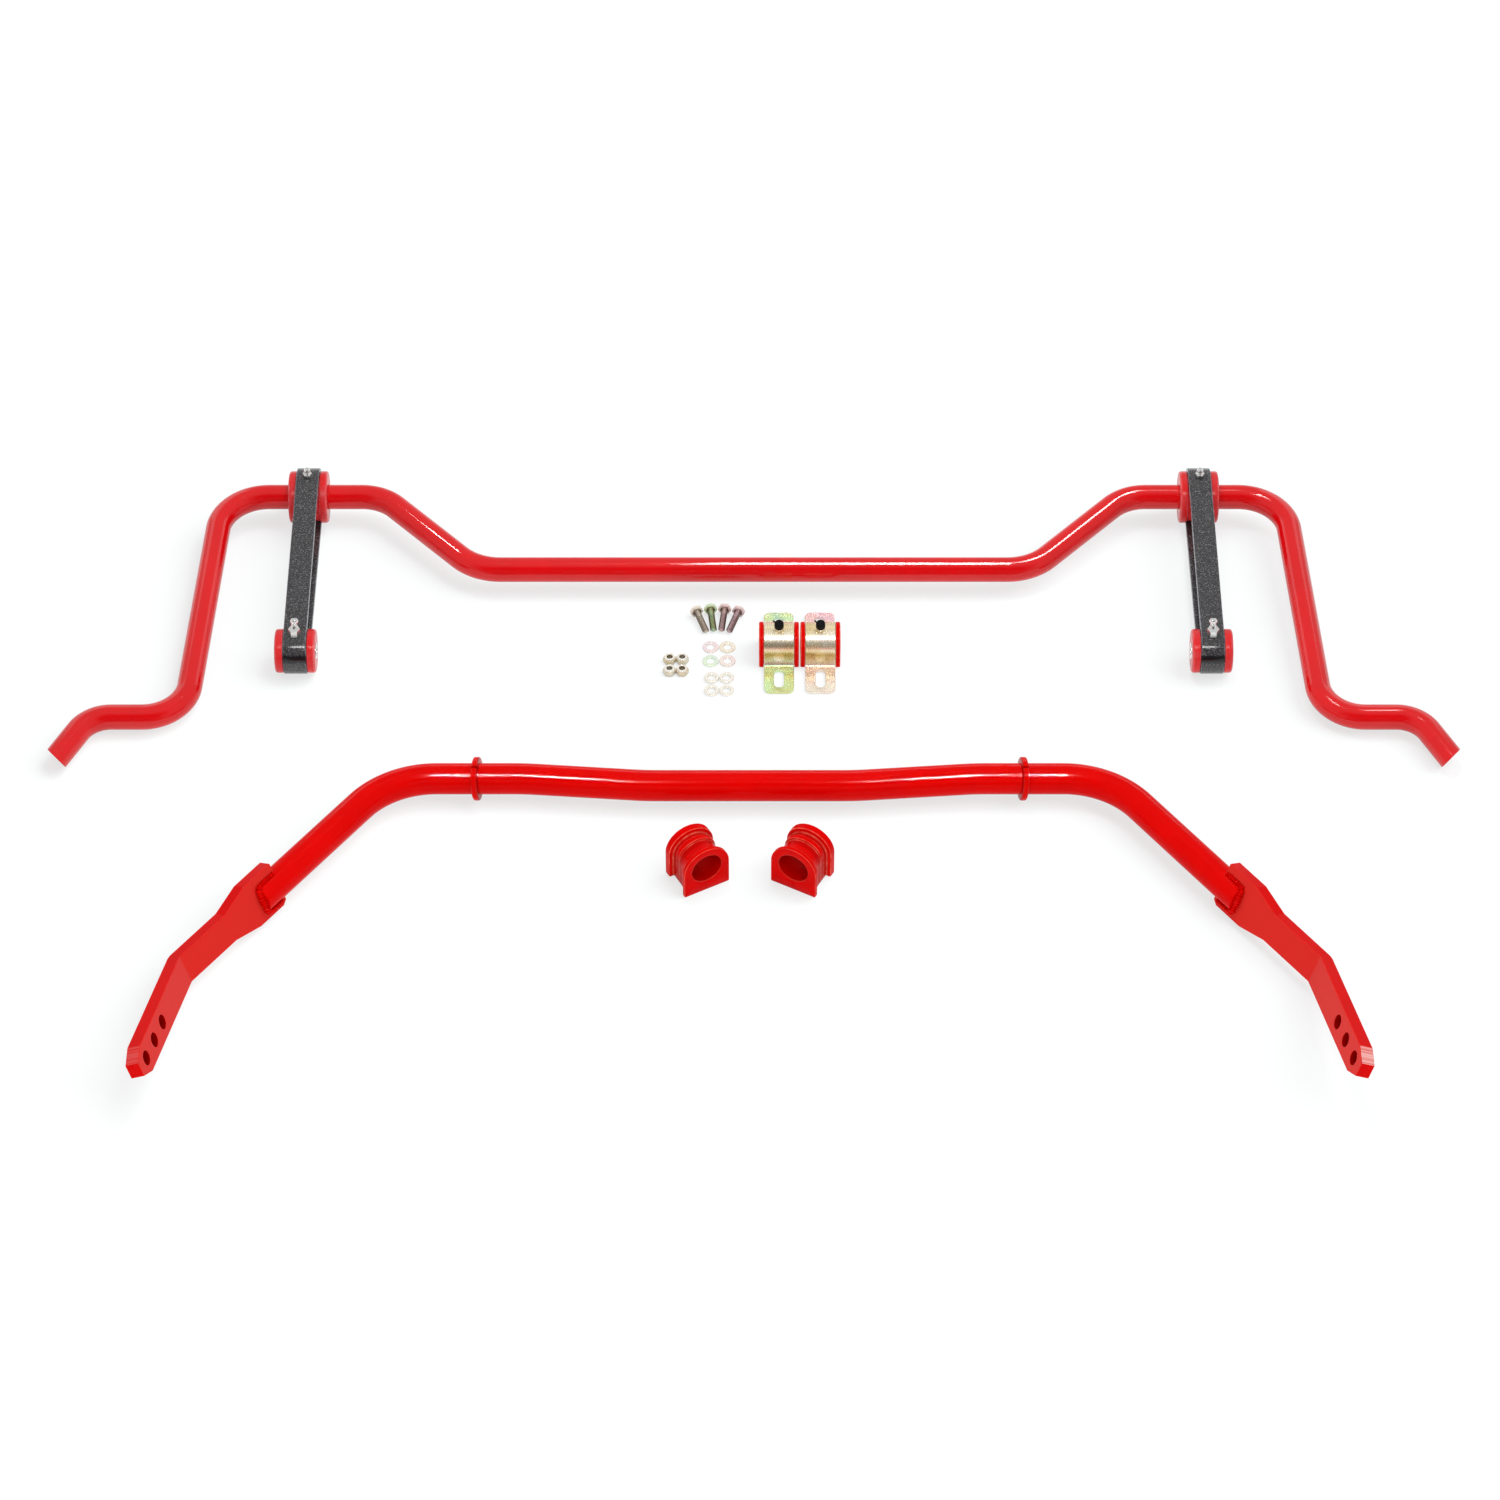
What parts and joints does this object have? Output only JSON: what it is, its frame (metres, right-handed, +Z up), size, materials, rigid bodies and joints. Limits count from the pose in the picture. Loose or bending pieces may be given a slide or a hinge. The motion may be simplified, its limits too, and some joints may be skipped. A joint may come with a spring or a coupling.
{
  "type": "sway bar kit",
  "caption": "Sway bar kit laid out flat: a bent solid bar with pivoting strap links, a hollow bar with welded drilled blades, and their bushings, brackets and fasteners.",
  "frame": {"origin": "centre of the laid-out kit's footprint, on the surface it lies on", "axes": "+X along the bars from the left end to the right end, +Y from the front bar to the rear bar, +Z up from the surface"},
  "size_m": [1.3144, 0.7968, 0.0662],
  "materials": {
    "rear_red": "deep red gloss powder coat on steel",
    "front_red": "bright red gloss powder coat on steel",
    "link_black": "satin black powder coat on steel strap",
    "bushing_red": "semi-gloss cast red polyurethane",
    "d_bushing_red": "gloss cast red polyurethane",
    "bright_steel": "bright zinc plated steel",
    "yellow_zinc": "iridescent yellow zinc plated steel",
    "cap_rubber": "matt black moulded rubber"
  },
  "bodies": {
    "bars_and_hardware": {"rear_bar": "rear_red", "front_bar_tube": "front_red", "left_blade": "front_red", "right_blade": "front_red", "left_location_ring": "front_red", "right_location_ring": "front_red", "left_d_bushing": "d_bushing_red", "right_d_bushing": "d_bushing_red", "left_bracket_bushing": "bushing_red", "right_bracket_bushing": "bushing_red", "bolt_1": "yellow_zinc", "bolt_2": "yellow_zinc", "bolt_3": "yellow_zinc", "bolt_4": "yellow_zinc", "nut_1": "yellow_zinc", "nut_2": "yellow_zinc", "nut_3": "yellow_zinc", "nut_4": "yellow_zinc", "flat_washer_1": "yellow_zinc", "flat_washer_2": "yellow_zinc", "flat_washer_3": "yellow_zinc", "flat_washer_4": "yellow_zinc", "thick_washer_1": "yellow_zinc", "thick_washer_2": "yellow_zinc", "thick_washer_3": "yellow_zinc", "thick_washer_4": "yellow_zinc"},
    "left_link": {"left_link_strap": "link_black", "left_link_bar_bushing": "bushing_red", "left_eye_bushing_inner": "bushing_red", "left_eye_bushing_outer": "bushing_red", "left_bar_grease_fitting": "bright_steel", "left_eye_grease_fitting": "bright_steel"},
    "right_link": {"right_link_strap": "link_black", "right_link_bar_bushing": "bushing_red", "right_eye_bushing_inner": "bushing_red", "right_eye_bushing_outer": "bushing_red", "right_bar_grease_fitting": "bright_steel", "right_eye_grease_fitting": "bright_steel"},
    "left_sleeve": {"left_eye_sleeve": "bright_steel"},
    "right_sleeve": {"right_eye_sleeve": "bright_steel"},
    "left_bracket": {"left_bracket_strap": "yellow_zinc", "left_bracket_grease_fitting": "yellow_zinc"},
    "right_bracket": {"right_bracket_strap": "yellow_zinc", "right_bracket_grease_fitting": "yellow_zinc"},
    "left_cap": {"left_fitting_cap": "cap_rubber"},
    "right_cap": {"right_fitting_cap": "cap_rubber"}
  },
  "joints": [
    {"name": "left_link_pivot", "type": "hinge", "parent": "bars_and_hardware", "child": "left_link", "pos_m": [-0.4335, 0.3702, 0.0282], "axis": [-1, 0, 0], "continuous": true},
    {"name": "right_link_pivot", "type": "hinge", "parent": "bars_and_hardware", "child": "right_link", "pos_m": [0.4335, 0.3702, 0.0282], "axis": [-1, 0, 0], "continuous": true},
    {"name": "left_sleeve_turn", "type": "hinge", "parent": "left_link", "child": "left_sleeve", "pos_m": [-0.4335, 0.16031, 0.0217], "axis": [-1, 0, 0], "continuous": true},
    {"name": "right_sleeve_turn", "type": "hinge", "parent": "right_link", "child": "right_sleeve", "pos_m": [0.4335, 0.16031, 0.0217], "axis": [-1, 0, 0], "continuous": true},
    {"name": "left_bracket_lift", "type": "slide", "parent": "bars_and_hardware", "child": "left_bracket", "axis": [0, 0, 1], "range_m": [0, 0.06]},
    {"name": "right_bracket_lift", "type": "slide", "parent": "bars_and_hardware", "child": "right_bracket", "axis": [0, 0, 1], "range_m": [0, 0.06]},
    {"name": "left_cap_pull", "type": "slide", "parent": "left_bracket", "child": "left_cap", "axis": [0, -0.1736, 0.9848], "range_m": [0, 0.012]},
    {"name": "right_cap_pull", "type": "slide", "parent": "right_bracket", "child": "right_cap", "axis": [0, -0.1736, 0.9848], "range_m": [0, 0.012]}
  ]
}
